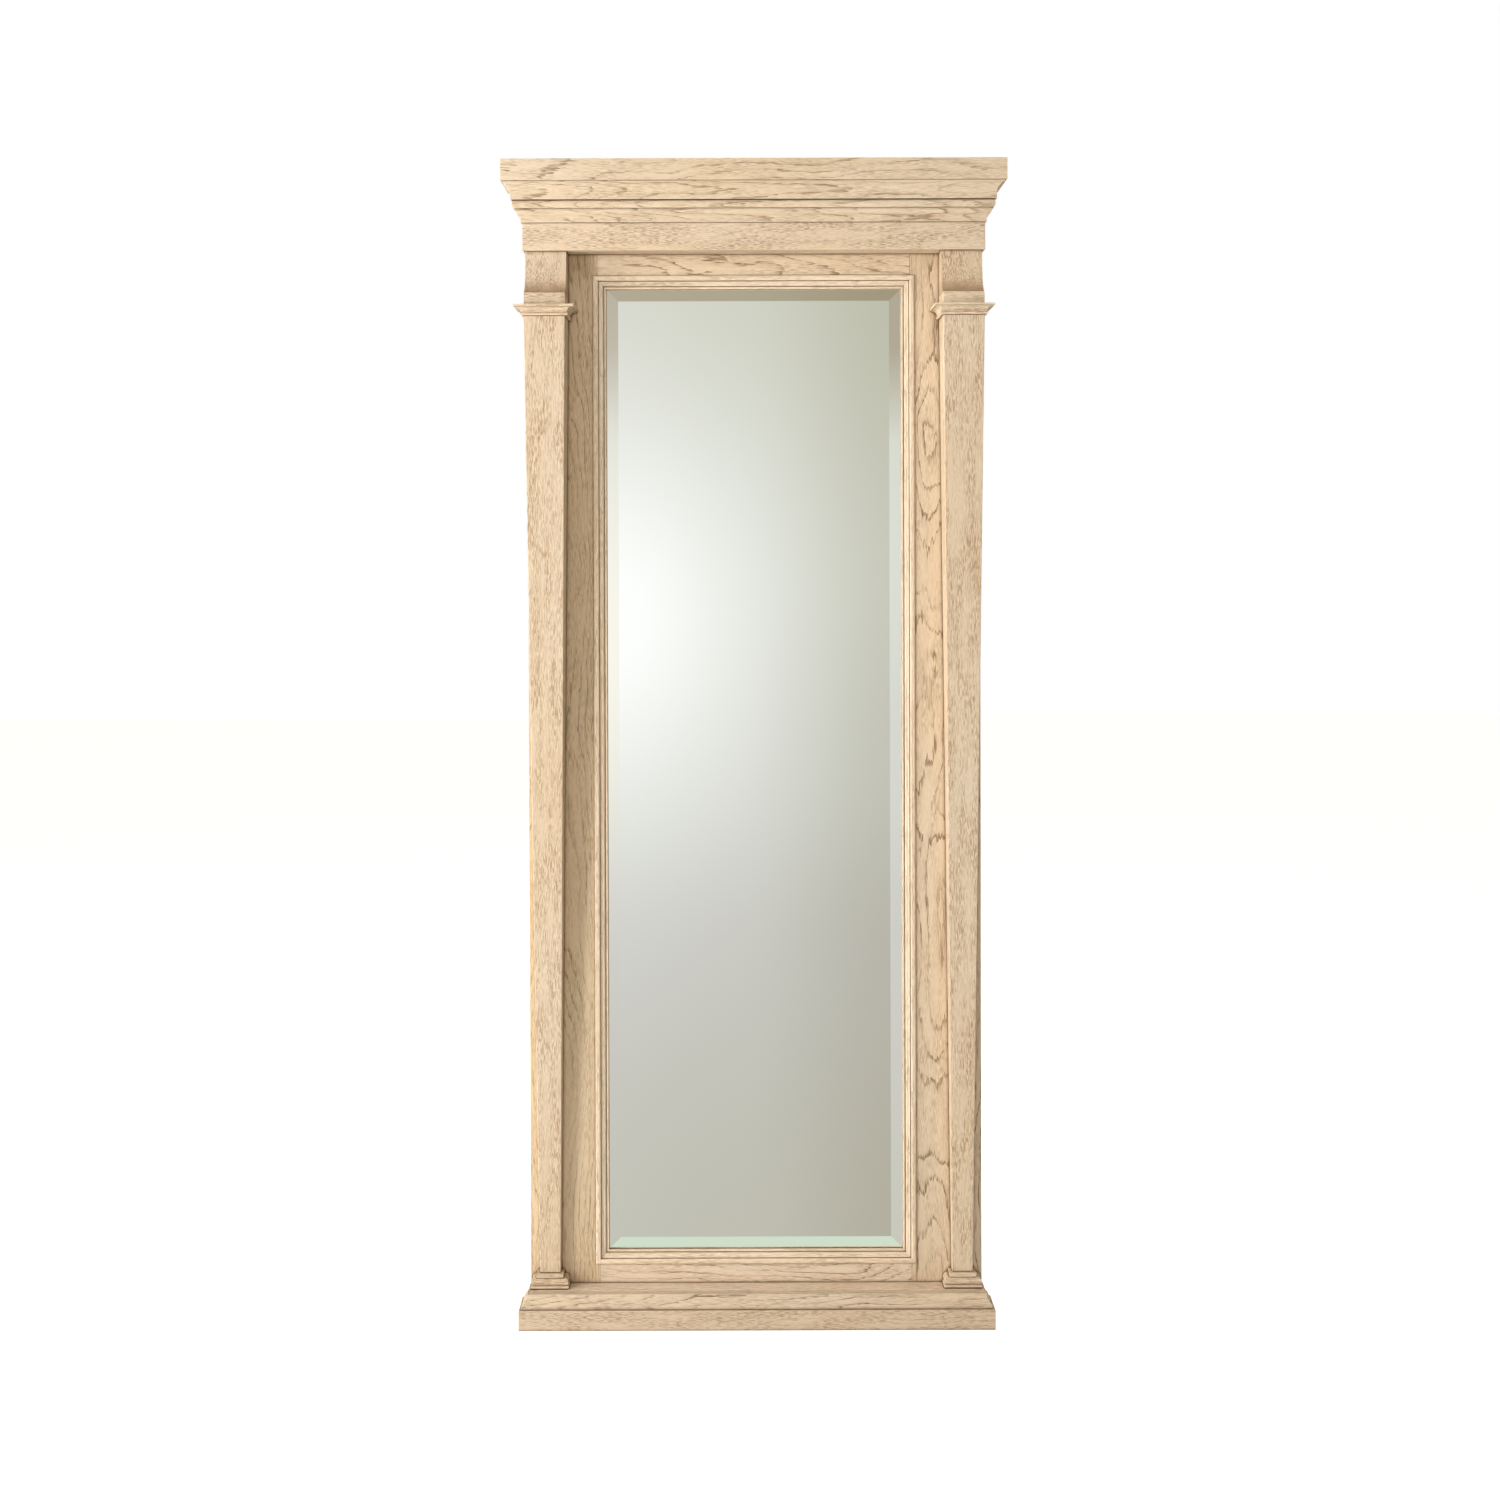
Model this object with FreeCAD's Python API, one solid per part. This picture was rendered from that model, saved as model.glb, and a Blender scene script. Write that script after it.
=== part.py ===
import FreeCAD, Part
import math
import os

# Full-length floor mirror in oak: a mirror frame with a cornice, two tapering
# pilasters and a moulded base.  Millimetres, +Z up, front towards -Y, origin on
# the floor at the middle of the bounding box.

# ---- driving dimensions ------------------------------------------------------
height = 2134.0                 # 84 in overall
crown_reach = 80.6              # cornice top edge in front of the stile face
body_depth = 41.4               # stile face to the back edge of the side boards
bumper_thick = 3.0
board_thick = 22.0              # stiles and rails
side_thick = 20.0

stile_outer = 419.6             # half width over the stiles
stile_inner = 290.0
sight_half = 274.0              # half width of the visible glass
sight_bottom = 121.0
sight_top = 1910.0
sight_width = 24.5              # moulding round the glass
sight_lap = 8.5                 # part of it that laps over the frame
sight_rise = 4.0                # how far it stands above the stile face
glass_recess = 10.0             # stile face to glass
glass_thick = 5.0
glass_lap = 8.0                 # glass hidden behind the moulding lip
bevel_wide = 30.0
bevel_deep = 2.0

wrap_half = 424.0               # half width of the frieze and of the base top
frieze_projection = 45.0
frieze_bottom = 1973.7
crown_bottom = 2024.4
crown_projection = crown_reach - frieze_projection
top_board_thick = 14.0
facing_thick = 20.0             # frieze and base boards

pilaster_x = 381.5
pilaster_width = 75.0
shaft_foot_width = 38.0
shaft_foot_depth = 20.0
shaft_head_depth = 73.0
neck_depth = 71.0
corbel_top_depth = 38.6
corbel_foot_depth = 68.0
corbel_bottom = 1893.0
neck_bottom = 1870.0
capital_bottom = 1851.0
capital_projection = 17.0
plinth_fillet_width = 49.5
plinth_fillet_depth = 28.0
plinth_fillet_high = 7.0
plinth_width = 71.0
plinth_depth = 33.0
plinth_high = 19.6

base_top = 61.4
base_ledge = 59.0               # flat top of the base, in front of the stile face
cap_projection = 11.5
cap_bottom = 36.8
cap_setback = 5.0               # lower edge of the cap behind the base boards
cap_inset = 20.0                # flat of the cap moulding before its moulded edge

batten_wide = 38.0
batten_thick = 8.0
back_panel_thick = 4.0

# ---- places worked out from them ---------------------------------------------
front_projection = max(crown_reach, neck_depth + capital_projection)
overall_depth = front_projection + body_depth + bumper_thick
face_y = overall_depth / 2 - bumper_thick - body_depth
back_y = face_y + body_depth
stile_back_y = face_y + board_thick
stile_top = height - top_board_thick
rail_half_lap = sight_width - sight_lap
frieze_y = face_y - frieze_projection
base_y = face_y - base_ledge
glass_y = face_y + glass_recess
glass_half = sight_half + glass_lap
glass_bottom = sight_bottom - glass_lap
glass_top = sight_top + glass_lap
lower_rail_top = sight_bottom - rail_half_lap
upper_rail_bottom = sight_top + rail_half_lap
batten_y = stile_back_y + batten_thick
panel_y = batten_y + back_panel_thick

parts = {}


# ---- shapes used all through ---------------------------------------------------
def box(x0, x1, y0, y1, z0, z1):
    corner = FreeCAD.Vector(min(x0, x1), min(y0, y1), min(z0, z1))
    return Part.makeBox(abs(x1 - x0), abs(y1 - y0), abs(z1 - z0), corner)


def outline(points, place):
    """Closed face from (p, z, bulge) points; bulge is the arc's rise on the way there."""
    edges = []
    for (p0, z0, _), (p1, z1, bulge) in zip(points[-1:] + points[:-1], points):
        start = place(p0, z0)
        end = place(p1, z1)
        if bulge == 0:
            edges.append(Part.LineSegment(start, end).toShape())
            continue
        length = math.hypot(p1 - p0, z1 - z0)
        middle = place((p0 + p1) / 2 + bulge * (z1 - z0) / length,
                       (z0 + z1) / 2 - bulge * (p1 - p0) / length)
        edges.append(Part.Arc(start, middle, end).toShape())
    return Part.Face(Part.Wire(edges))


def prism(corners, z0, z1):
    wire = Part.makePolygon([FreeCAD.Vector(x, y, z0) for x, y in corners + corners[:1]])
    return Part.Face(wire).extrude(FreeCAD.Vector(0, 0, z1 - z0))


def mirrored(shape):
    return shape.mirror(FreeCAD.Vector(0, 0, 0), FreeCAD.Vector(1, 0, 0))


def one_solid(shape):
    clean = shape.removeSplitter()
    if len(clean.Solids) == 1:
        return clean.Solids[0]
    return clean


def wrapped(points, centre, half, front, back, inset):
    """Moulding carried round a front and two returns, mitred at the corners.

    Profile points are (projection, z, bulge), measured outwards from a block of
    the given half width whose front is at y = front.  Gives front, left, right."""
    reach = max(p for p, _, _ in points) + 5
    low = min(z for _, z, _ in points) - 5
    high = max(z for _, z, _ in points) + 5
    run = half + reach

    def on_front(p, z):
        return FreeCAD.Vector(centre - run, front - p, z)

    def on_right(p, z):
        return FreeCAD.Vector(centre + half + p, back, z)

    front_bar = outline(points, on_front).extrude(FreeCAD.Vector(2 * run, 0, 0))
    right_bar = outline(points, on_right).extrude(FreeCAD.Vector(0, front - reach - back, 0))
    left_bar = right_bar.mirror(FreeCAD.Vector(centre, 0, 0), FreeCAD.Vector(1, 0, 0))
    inner = half - inset
    front_keep = prism([(centre - inner, front + inset), (centre + inner, front + inset),
                        (centre + run, front - reach), (centre - run, front - reach)], low, high)
    right_keep = prism([(centre + inner, front + inset), (centre + run, front - reach),
                        (centre + run, back), (centre + inner, back)], low, high)
    left_keep = right_keep.mirror(FreeCAD.Vector(centre, 0, 0), FreeCAD.Vector(1, 0, 0))
    return [one_solid(front_bar.common(front_keep)), one_solid(left_bar.common(left_keep)),
            one_solid(right_bar.common(right_keep))]


def screw_blank(x, y, z, head_radius, length):
    """Countersunk wood screw driven forwards (towards -Y) with its head face at y."""
    head_deep = head_radius * 0.8
    shank = head_radius * 0.5
    points = [(0, 0, 0), (head_radius, 0, 0), (head_radius, -0.3, 0), (shank, -head_deep, 0),
              (shank, -length + 2 * shank, 0), (0, -length, 0)]
    half_section = outline(points, lambda r, h: FreeCAD.Vector(x + r, y + h, z))
    return half_section.revolve(FreeCAD.Vector(x, y, z), FreeCAD.Vector(0, 1, 0), 360)


def screw(x, y, z, head_radius, length):
    """The same screw with its cross recess."""
    arm = head_radius * 0.55
    wide = box(x - arm, x + arm, y - 0.9, y + 1, z - 0.5, z + 0.5)
    tall = box(x - 0.5, x + 0.5, y - 0.9, y + 1, z - arm, z + arm)
    return screw_blank(x, y, z, head_radius, length).cut(wide.fuse(tall))


# ---- mirror frame: stiles, rails, side and cross boards ----------------------------
def frame_pieces():
    tenon_long = 45.0
    tenon_thick = 8.0
    shoulder = 18.0
    tenon_y = face_y + (board_thick - tenon_thick) / 2
    stile = box(stile_inner, stile_outer, face_y, stile_back_y, 0, stile_top)
    for name, low, high in [("bottom_rail", 0, lower_rail_top),
                            ("top_rail", upper_rail_bottom, stile_top)]:
        rail = box(-stile_inner, stile_inner, face_y, stile_back_y, low, high)
        tongue = box(-stile_inner - tenon_long, stile_inner + tenon_long,
                     tenon_y, tenon_y + tenon_thick, low + shoulder, high - shoulder)
        parts[name] = one_solid(rail.fuse(tongue))
        stile = stile.cut(tongue)
    parts["stile_right"] = one_solid(stile)
    parts["stile_left"] = mirrored(parts["stile_right"])

    side = box(stile_outer - side_thick, stile_outer, stile_back_y, back_y, 0, stile_top)
    parts["side_board_right"] = side
    parts["side_board_left"] = mirrored(side)
    inner = stile_outer - side_thick
    parts["back_cross_board_top"] = box(-inner, inner, stile_back_y, back_y,
                                        stile_top - side_thick, stile_top)
    parts["back_cross_board_bottom"] = box(-inner, inner, stile_back_y, back_y, 0, side_thick)

    leg = 45.0
    blocks = []
    for x_sign in (-1, 1):
        for z, z_sign in [(side_thick, 1), (stile_top - side_thick, -1)]:
            corner = [FreeCAD.Vector(x_sign * inner, stile_back_y, z),
                      FreeCAD.Vector(x_sign * (inner - leg), stile_back_y, z),
                      FreeCAD.Vector(x_sign * inner, stile_back_y, z + z_sign * leg)]
            face = Part.Face(Part.makePolygon(corner + corner[:1]))
            blocks.append(face.extrude(FreeCAD.Vector(0, 15, 0)))
    parts["corner_blocks"] = Part.makeCompound(blocks)


# ---- moulding round the glass, mitred at its four corners ---------------------------
def sight_moulding():
    lip = 1.5 + glass_lap
    tail = -board_thick
    profile = [(0, -glass_recess, 0), (0, -6.5, 0), (1.2, -5.2, 0.3), (3.6, -5.2, 0), (4.0, -6.2, 0),
               (5.2, -6.2, 0), (5.2, -4.2, 0), (9.0, -1.6, 0.6), (13.0, 0.6, -0.5), (13.3, -0.4, 0),
               (14.6, -0.4, 0), (14.8, 2.8, 0),
               (19.5, sight_rise, 0.7), (24.0, 2.6, 0.7), (sight_width, 0, 0),
               (rail_half_lap, 0, 0), (rail_half_lap, tail, 0), (lip, tail, 0), (lip, -glass_recess, 0)]
    profile = [(u, d, -bulge) for u, d, bulge in profile]
    half = sight_half
    middle = (sight_bottom + sight_top) / 2
    tall = (sight_top - sight_bottom) / 2
    far = 60.0

    def upright(u, d):
        return FreeCAD.Vector(half + u, face_y - d, sight_bottom - far)

    def level(u, d):
        return FreeCAD.Vector(-half - far, face_y - d, sight_top + u)

    def keep(corners):
        wire = Part.makePolygon([FreeCAD.Vector(x, face_y - 20, z) for x, z in corners + corners[:1]])
        return Part.Face(wire).extrude(FreeCAD.Vector(0, 20 + board_thick, 0))

    bar = outline(profile, upright).extrude(FreeCAD.Vector(0, 0, 2 * tall + 2 * far))
    right = one_solid(bar.common(keep([(half, sight_bottom), (half + far, sight_bottom - far),
                                       (half + far, sight_top + far), (half, sight_top)])))
    bar = outline(profile, level).extrude(FreeCAD.Vector(2 * half + 2 * far, 0, 0))
    top = one_solid(bar.common(keep([(-half, sight_top), (half, sight_top),
                                     (half + far, sight_top + far), (-half - far, sight_top + far)])))
    parts["glass_moulding_right"] = right
    parts["glass_moulding_left"] = mirrored(right)
    parts["glass_moulding_top"] = top
    parts["glass_moulding_bottom"] = top.mirror(FreeCAD.Vector(0, 0, middle), FreeCAD.Vector(0, 0, 1))


# ---- bevelled mirror, its backing, battens and back panel --------------------------
def mirror_pack():
    x, z0, z1 = glass_half, glass_bottom, glass_top
    flat = box(-x, x, glass_y + bevel_deep, glass_y + glass_thick, z0, z1)

    def ring(inset, y):
        corners = [(-x + inset, z0 + inset), (x - inset, z0 + inset),
                   (x - inset, z1 - inset), (-x + inset, z1 - inset)]
        return Part.makePolygon([FreeCAD.Vector(cx, y, cz) for cx, cz in corners + corners[:1]])

    raised = Part.makeLoft([ring(0, glass_y + bevel_deep), ring(bevel_wide, glass_y)], True, True)
    parts["mirror_glass"] = one_solid(flat.fuse(raised))
    parts["backing_board"] = box(-x, x, glass_y + glass_thick, stile_back_y, z0, z1)

    inner = sight_half - 12
    outer = inner + batten_wide
    low = sight_bottom + 12
    high = sight_top - 12
    parts["glass_batten_right"] = box(inner, outer, stile_back_y, batten_y, low, high)
    parts["glass_batten_left"] = mirrored(parts["glass_batten_right"])
    parts["glass_batten_top"] = box(-outer, outer, stile_back_y, batten_y, high, high + batten_wide)
    parts["glass_batten_bottom"] = box(-outer, outer, stile_back_y, batten_y, low - batten_wide, low)
    margin = 4.0
    parts["back_panel"] = box(-outer + margin, outer - margin, batten_y, panel_y,
                              low - batten_wide + margin, high + batten_wide - margin)

    edge = 13.0
    columns = 4
    rows = 8
    span_x = outer - edge
    first = low - batten_wide + edge
    last = high + batten_wide - edge
    places = [(x_at, first + (last - first) * row / (rows - 1))
              for row in range(rows) for x_at in (-span_x, span_x)]
    places += [(-span_x + 2 * span_x * column / (columns - 1), z_at)
               for column in range(1, columns - 1) for z_at in (first, last)]
    parts["back_panel_screws"] = Part.makeCompound([screw(x_at, panel_y, z_at, 3.5, 10.5)
                                                    for x_at, z_at in places])
    holes = Part.makeCompound([screw_blank(x_at, panel_y, z_at, 3.5, 10.5) for x_at, z_at in places])
    for node in ("back_panel", "glass_batten_right", "glass_batten_left",
                 "glass_batten_top", "glass_batten_bottom"):
        parts[node] = one_solid(parts[node].cut(holes))


# ---- frieze, soffit, crown and top board -------------------------------------------
def entablature():
    board = [(0, frieze_bottom, 0), (0, stile_top, 0), (-facing_thick, stile_top, 0),
             (-facing_thick, frieze_bottom, 0)]
    front, left, right = wrapped(board, 0, wrap_half, frieze_y, back_y, facing_thick)
    frame_block = box(-stile_outer, stile_outer, face_y, back_y + 1, frieze_bottom - 1, stile_top + 1)
    parts["frieze_front"] = front
    parts["frieze_return_left"] = one_solid(left.cut(frame_block))
    parts["frieze_return_right"] = one_solid(right.cut(frame_block))
    inner = wrap_half - facing_thick
    parts["soffit_board"] = box(-inner, inner, face_y, frieze_y + facing_thick,
                                frieze_bottom, frieze_bottom + 12)

    z = crown_bottom
    p = crown_projection
    crown = [(0, height, 0), (0, z, 0), (2.6, z, 0), (2.6, z + 3.6, 0),
             (6.4, z + 13.0, -1.6), (11.2, z + 21.8, 1.4), (11.2, z + 24.4, 0), (14.6, z + 24.4, 0),
             (14.6, z + 39.1, 2.2), (19.0, z + 39.1, 0), (19.0, z + 46.6, 0),
             (p - 3.4, z + 68.4, -4.5), (p - 3.4, z + 70.8, 0), (p, z + 70.8, 0), (p, height, 0)]
    names = ("crown_front", "crown_return_left", "crown_return_right")
    for name, piece in zip(names, wrapped(crown, 0, wrap_half, frieze_y, back_y, 0)):
        parts[name] = piece
    parts["top_board"] = box(-wrap_half, wrap_half, frieze_y, back_y, stile_top, height)


# ---- pilasters ---------------------------------------------------------------------
def pilaster(side):
    x = pilaster_x
    half = pilaster_width / 2

    def tapered(foot_half, foot_depth, low, head_half, head_depth, high):
        wires = []
        for w, d, z in [(foot_half, foot_depth, low), (head_half, head_depth, high)]:
            corners = [(x - w, face_y), (x + w, face_y), (x + w, face_y - d), (x - w, face_y - d)]
            wires.append(Part.makePolygon([FreeCAD.Vector(cx, cy, z) for cx, cy in corners + corners[:1]]))
        return Part.makeLoft(wires, True, True)

    shaft_low = base_top + plinth_high + plinth_fillet_high
    shaft = tapered(shaft_foot_width / 2, shaft_foot_depth, shaft_low,
                    half, shaft_head_depth, capital_bottom)

    corbel = outline([(0, corbel_bottom, 0), (corbel_foot_depth, corbel_bottom, 0),
                      (corbel_foot_depth - 20.5, corbel_bottom + 23.0, -3.4),
                      (corbel_top_depth, frieze_bottom, -1.6), (0, frieze_bottom, 0)],
                     lambda d, z: FreeCAD.Vector(x - half, face_y - d, z))
    corbel = corbel.extrude(FreeCAD.Vector(2 * half, 0, 0))
    neck = box(x - half, x + half, face_y - neck_depth, face_y, neck_bottom, corbel_bottom)

    z = capital_bottom
    c = capital_projection
    core = box(x - half, x + half, face_y - neck_depth, face_y, z, neck_bottom)
    rim = [(0, z, 0), (3.0, z, 0), (3.0, z + 5.5, 2.7), (4.0, z + 5.5, 0), (c - 2.5, z + 14.6, -3.4),
           (c - 2.5, z + 15.4, 0), (c, z + 15.4, 0), (c, neck_bottom, 0), (0, neck_bottom, 0)]
    capital = core
    for piece in wrapped(rim, x, half, face_y - neck_depth, face_y, 0):
        capital = capital.fuse(piece)

    fillet_half = plinth_fillet_width / 2
    fillet_low = base_top + plinth_high
    fillet = box(x - fillet_half, x + fillet_half, face_y - plinth_fillet_depth, face_y,
                 fillet_low, fillet_low + plinth_fillet_high)

    foot_half = plinth_width / 2 - 8.5
    foot_front = face_y - plinth_depth + 8.5
    z = base_top
    core = box(x - foot_half, x + foot_half, foot_front, face_y, z, z + plinth_high)
    rim = [(0, z, 0), (6.5, z, 0), (6.5, z + 5.6, 2.0), (5.2, z + 6.2, 0), (5.2, z + 7.6, 0),
           (6.8, z + 8.4, 0), (1.0, z + plinth_high, 2.6), (0, z + plinth_high, 0)]
    foot = core
    for piece in wrapped(rim, x, foot_half, foot_front, face_y, 0):
        foot = foot.fuse(piece)

    pieces = {"pilaster_shaft": shaft, "corbel": corbel, "pilaster_neck": neck,
              "capital": one_solid(capital), "plinth_fillet": fillet, "plinth_foot": one_solid(foot)}
    for name, piece in pieces.items():
        parts[name + "_" + side] = piece if side == "right" else mirrored(piece)


# ---- base: boards, cap moulding, ledge and glue blocks --------------------------------
def base():
    half = wrap_half + cap_projection
    front_y = base_y - cap_projection
    board = [(0, 0, 0), (0, cap_bottom, 0), (-facing_thick, cap_bottom, 0), (-facing_thick, 0, 0)]
    for name, piece in zip(("base_front", "base_return_left", "base_return_right"),
                           wrapped(board, 0, half, front_y, face_y, facing_thick)):
        parts[name] = piece

    p = cap_projection - cap_setback
    cap = [(-cap_inset, cap_bottom, 0), (p, cap_bottom, 0), (p, cap_bottom + 6.0, 0),
           (-3.0, base_top - 3.4, -1.0), (-3.0, base_top - 0.8, 0), (-3.8, base_top, 0.3),
           (-cap_inset, base_top, 0)]
    for name, piece in zip(("base_cap_front", "base_cap_return_left", "base_cap_return_right"),
                           wrapped(cap, 0, wrap_half, base_y, face_y, cap_inset)):
        parts[name] = piece

    inner = wrap_half - cap_inset
    parts["base_ledge"] = box(-inner, inner, base_y + cap_inset, face_y, cap_bottom, base_top)

    blocks = []
    block_wide = 30.0
    for step in range(-2, 3):
        x = step * (pilaster_x - 10) / 2
        blocks.append(box(x - block_wide / 2, x + block_wide / 2, front_y + facing_thick, face_y,
                          0, cap_bottom))
    parts["base_glue_blocks"] = Part.makeCompound(blocks)


# ---- hanging hardware and bumpers at the back --------------------------------------------
hanger_x = 355.0
hanger_z = 1700.0               # axis of the ring's straight bar
hanger_axis_y = stile_back_y + 5.0
ring_wire = 1.9
ring_half_wide = 14.0
ring_drop = 17.0
plate_half = 11.0
plate_thick = 1.6
plate_high = 52.0
hanger_screw_rise = (18.0, 40.0)


def hanger(side):
    x = hanger_x
    y = hanger_axis_y
    z = hanger_z
    loop_bore = ring_wire + 0.2
    loop_outer = loop_bore + plate_thick
    strap_back = stile_back_y + plate_thick
    tongue_half = plate_half - 3.0
    plate = box(x - plate_half, x + plate_half, stile_back_y, strap_back, z + 7, z + plate_high)
    plate = plate.fuse(box(x - tongue_half, x + tongue_half, stile_back_y, strap_back, z, z + 7))
    start = FreeCAD.Vector(x - tongue_half, y, z)
    along = FreeCAD.Vector(1, 0, 0)
    loop = Part.makeCylinder(loop_outer, 2 * tongue_half, start, along)
    hub = box(x - tongue_half, x + tongue_half, stile_back_y, y, z - 1, z + 4)
    bore = Part.makeCylinder(loop_bore, 2 * tongue_half + 2, start - FreeCAD.Vector(1, 0, 0), along)
    plate = one_solid(plate.fuse(loop).fuse(hub).cut(bore))
    for up in hanger_screw_rise:
        plate = plate.cut(screw_blank(x, strap_back, z + up, 3.8, 18.0))

    # the ring: a straight bar, two straight legs and a half round, hanging down
    w = ring_half_wide
    corner = 3.5
    knee = corner * (1 - math.sqrt(0.5))
    drop = z - ring_drop

    def at(dx, z_at):
        return FreeCAD.Vector(x + dx, y, z_at)

    path = [Part.LineSegment(at(-w + corner, z), at(w - corner, z)).toShape(),
            Part.Arc(at(w - corner, z), at(w - knee, z - knee), at(w, z - corner)).toShape(),
            Part.LineSegment(at(w, z - corner), at(w, drop)).toShape(),
            Part.Arc(at(w, drop), at(0, drop - w), at(-w, drop)).toShape(),
            Part.LineSegment(at(-w, drop), at(-w, z - corner)).toShape(),
            Part.Arc(at(-w, z - corner), at(-w + knee, z - knee), at(-w + corner, z)).toShape()]
    section = Part.Wire(Part.makeCircle(ring_wire, at(0, z), along))
    ring = Part.Wire(path).makePipeShell([section], True, True)
    pieces = {"hanger_plate": one_solid(plate), "d_ring": ring}
    for name, piece in pieces.items():
        parts[name + "_" + side] = piece if side == "right" else mirrored(piece)


def hanger_fixings():
    strap_back = stile_back_y + plate_thick
    places = [(x, hanger_z + up) for x in (-hanger_x, hanger_x) for up in hanger_screw_rise]
    parts["hanger_screws"] = Part.makeCompound([screw(x, strap_back, z, 3.8, 18.0) for x, z in places])
    holes = Part.makeCompound([screw_blank(x, strap_back, z, 3.8, 18.0) for x, z in places])
    for node in ("stile_left", "stile_right"):
        parts[node] = one_solid(parts[node].cut(holes))


def bumpers():
    discs = []
    radius = 8.0
    x = stile_outer - side_thick / 2
    for x_at in (-x, x):
        for z in (90.0, height / 2, stile_top - 190.0):
            discs.append(Part.makeCylinder(radius, bumper_thick, FreeCAD.Vector(x_at, back_y, z),
                                           FreeCAD.Vector(0, 1, 0)))
    parts["wall_bumpers"] = Part.makeCompound(discs)


frame_pieces()
sight_moulding()
mirror_pack()
entablature()
for side_name in ("left", "right"):
    pilaster(side_name)
base()
for side_name in ("left", "right"):
    hanger(side_name)
hanger_fixings()
bumpers()

os.makedirs("parts", exist_ok=True)
for node, shape in parts.items():
    if not shape.isValid():
        print("not valid:", node)
    shape.exportStep(os.path.join("parts", node + ".step"))
print(len(parts), "parts")
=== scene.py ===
import math

import bmesh
import bpy
from mathutils import Euler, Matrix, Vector


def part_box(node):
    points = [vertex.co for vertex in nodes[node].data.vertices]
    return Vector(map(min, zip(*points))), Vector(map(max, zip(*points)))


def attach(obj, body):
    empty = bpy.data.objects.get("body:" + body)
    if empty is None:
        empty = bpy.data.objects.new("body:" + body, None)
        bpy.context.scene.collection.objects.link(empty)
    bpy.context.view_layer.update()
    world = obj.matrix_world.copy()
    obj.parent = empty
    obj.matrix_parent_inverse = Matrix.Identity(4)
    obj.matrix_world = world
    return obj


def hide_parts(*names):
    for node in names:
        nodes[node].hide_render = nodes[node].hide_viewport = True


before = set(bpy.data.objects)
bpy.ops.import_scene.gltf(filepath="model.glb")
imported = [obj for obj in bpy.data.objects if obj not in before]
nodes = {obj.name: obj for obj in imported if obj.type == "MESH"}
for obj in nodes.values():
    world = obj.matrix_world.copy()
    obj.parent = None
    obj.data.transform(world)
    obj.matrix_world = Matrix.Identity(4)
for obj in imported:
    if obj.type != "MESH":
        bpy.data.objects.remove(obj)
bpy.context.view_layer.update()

scene = bpy.context.scene
scene.view_settings.view_transform = "Standard"


# ---- Camera and studio --------------------------------------------------------
# A view camera stands about 3.4 m back, a little left of the middle and above
# half height, with its back shifted so that upright lines stay upright.
camera_data = bpy.data.cameras.new("view_camera")
camera_data.sensor_width = 36.0
camera_data.lens = 43.8
camera_data.shift_x = 0.0132
camera_data.shift_y = -0.1114
camera = bpy.data.objects.new("view_camera", camera_data)
camera.location = (-0.0448, -3.3683, 1.385)
camera.rotation_euler = (math.radians(90 - 0.36), math.radians(0.17), 0)
scene.collection.objects.link(camera)
scene.camera = camera


def colour(r, g, b):
    """Linear colour from the 0 to 255 values a paint swatch is given in."""
    def linear(v):
        v = v / 255
        return v / 12.92 if v <= 0.04045 else ((v + 0.055) / 1.055) ** 2.4
    return (linear(r), linear(g), linear(b), 1.0)


def studio_light(name, place, size_x, size_y, power, in_glass=False):
    data = bpy.data.lights.new(name, "AREA")
    data.shape = "RECTANGLE"
    data.size = size_x
    data.size_y = size_y
    data.energy = power
    light = bpy.data.objects.new(name, data)
    light.location = place
    light.rotation_euler = (Vector((0, 0, 1.1)) - Vector(place)).to_track_quat("-Z", "Y").to_euler()
    light.visible_glossy = in_glass
    scene.collection.objects.link(light)


studio_light("key_softbox", (-2.95, -2.25, 1.25), 0.80, 2.8, 89, in_glass=True)
studio_light("left_panel", (-3.25, -0.75, 1.1), 1.0, 2.6, 82)
studio_light("front_fill", (0.2, -4.6, 1.1), 2.2, 2.8, 39)
studio_light("top_softbox", (0.0, -2.1, 4.0), 2.4, 1.6, 26)
studio_light("back_softbox", (1.0, 3.6, 2.4), 2.6, 2.0, 75)

bm = bmesh.new()
bmesh.ops.create_grid(bm, x_segments=1, y_segments=1, size=14)
floor_mesh = bpy.data.meshes.new("studio_floor")
bm.to_mesh(floor_mesh)
bm.free()
floor = bpy.data.objects.new("studio_floor", floor_mesh)
scene.collection.objects.link(floor)
floor_paint = bpy.data.materials.new("studio_floor_paint")
floor_paint.use_nodes = True
floor_shader = floor_paint.node_tree.nodes["Principled BSDF"]
floor_shader.inputs["Base Color"].default_value = (0.93, 0.93, 0.92, 1)
floor_shader.inputs["Roughness"].default_value = 0.9
floor_shader.inputs["Emission Color"].default_value = (1, 1, 1, 1)
seen = floor_paint.node_tree.nodes.new("ShaderNodeLightPath")
lift = floor_paint.node_tree.nodes.new("ShaderNodeMath")
lift.operation = "MULTIPLY"
lift.inputs[1].default_value = 0.75
floor_paint.node_tree.links.new(seen.outputs["Is Camera Ray"], lift.inputs[0])
floor_paint.node_tree.links.new(lift.outputs[0], floor_shader.inputs["Emission Strength"])
floor_mesh.materials.append(floor_paint)
floor.visible_glossy = False


# ---- What the mirror sees ------------------------------------------------------
# The wall behind the camera is grey, with the glow of one soft lamp left of the
# camera, warmer near the ceiling and cool and bright low down and to the right.
world = bpy.data.worlds.new("studio_world")
world.use_nodes = True
scene.world = world


def add(tree, kind, **settings):
    """A node in the tree, with its named settings and socket values."""
    node = tree.nodes.new(kind)
    for key, value in settings.items():
        if key in node.inputs:
            node.inputs[key].default_value = value
        else:
            setattr(node, key, value)
    return node


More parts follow.
